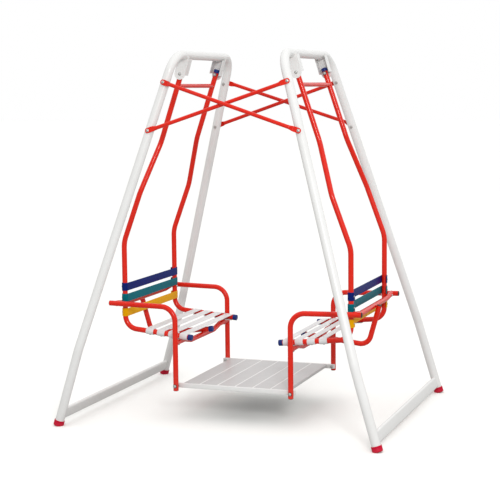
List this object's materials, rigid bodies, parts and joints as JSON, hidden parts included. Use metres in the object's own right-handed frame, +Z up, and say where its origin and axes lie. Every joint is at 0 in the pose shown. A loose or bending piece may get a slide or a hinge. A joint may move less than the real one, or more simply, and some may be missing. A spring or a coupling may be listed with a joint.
{
  "type": "glider swing",
  "caption": "Garden glider swing: leaning end frames with crossed braces carry facing slatted seats that swing together over a level foot deck.",
  "frame": {"origin": "on the floor under the middle of the swing", "axes": "+X runs from the left seat to the right seat, +Y away from the near side, +Z up"},
  "size_m": [1.5856, 1.2782, 1.7361],
  "materials": {
    "white_enamel": "gloss powder coat",
    "red_enamel": "gloss powder coat",
    "red_foot": "moulded, satin",
    "steel": "zinc plated",
    "yellow_slat": "moulded, satin",
    "teal_slat": "moulded, satin",
    "blue_slat": "moulded, satin",
    "white_slat": "moulded, satin",
    "blue_cap": "moulded, satin",
    "black_plastic": "moulded",
    "deck_enamel": "satin powder coat"
  },
  "bodies": {
    "frame": {"frame_left": "white_enamel", "frame_right": "white_enamel", "ground_bar_left": "white_enamel", "ground_bar_right": "white_enamel", "foot_cap_left_near": "red_foot", "foot_cap_left_far": "red_foot", "foot_cap_right_near": "red_foot", "foot_cap_right_far": "red_foot", "bracket_left_near": "white_enamel", "bracket_left_far": "white_enamel", "bracket_right_near": "white_enamel", "bracket_right_far": "white_enamel", "brace_near_falling": "red_enamel", "brace_near_rising": "red_enamel", "brace_far_falling": "red_enamel", "brace_far_rising": "red_enamel", "brace_bolts_near": "steel", "brace_bolts_far": "steel", "pivot_bolts_left": "steel", "pivot_bolts_right": "steel"},
    "seat_left": {"hanger_left_near": "red_enamel", "hanger_left_far": "red_enamel", "hanger_tie_left": "red_enamel", "arm_left_near": "red_enamel", "arm_left_far": "red_enamel", "arm_tie_left": "red_enamel", "seat_bar_left": "red_enamel", "spine_left": "red_enamel", "back_slat_left_low": "yellow_slat", "back_slat_left_mid": "teal_slat", "back_slat_left_top": "blue_slat", "seat_slats_left": "white_slat", "tube_caps_left": "blue_cap", "tube_plugs_left": "black_plastic", "bushes_left": "black_plastic", "fasteners_left": "steel"},
    "seat_right": {"hanger_right_near": "red_enamel", "hanger_right_far": "red_enamel", "hanger_tie_right": "red_enamel", "arm_right_near": "red_enamel", "arm_right_far": "red_enamel", "arm_tie_right": "red_enamel", "seat_bar_right": "red_enamel", "spine_right": "red_enamel", "back_slat_right_low": "yellow_slat", "back_slat_right_mid": "teal_slat", "back_slat_right_top": "blue_slat", "seat_slats_right": "white_slat", "tube_caps_right": "blue_cap", "tube_plugs_right": "black_plastic", "bushes_right": "black_plastic", "fasteners_right": "steel"},
    "deck": {"deck_rail_near": "deck_enamel", "deck_rail_far": "deck_enamel", "deck_planks": "deck_enamel", "deck_joiners": "white_enamel", "deck_bolts_left": "steel", "deck_bolts_right": "steel"}
  },
  "joints": [
    {"name": "swing_left", "type": "hinge", "parent": "frame", "child": "seat_left", "pos_m": [-0.28594, 0, 1.62778], "axis": [0, 1, 0], "range_deg": [-18, 18]},
    {"name": "swing_right", "type": "hinge", "parent": "frame", "child": "seat_right", "pos_m": [0.28594, 0, 1.62778], "axis": [0, 1, 0], "range_deg": [-18, 18]},
    {"name": "deck_left", "type": "hinge", "parent": "seat_left", "child": "deck", "pos_m": [-0.28594, 0, 0.163], "axis": [0, 1, 0], "range_deg": [-18, 18]}
  ],
  "couplings": [
    {"joint": "swing_right", "follows": "swing_left", "ratio": 1},
    {"joint": "deck_left", "follows": "swing_left", "ratio": -1}
  ]
}
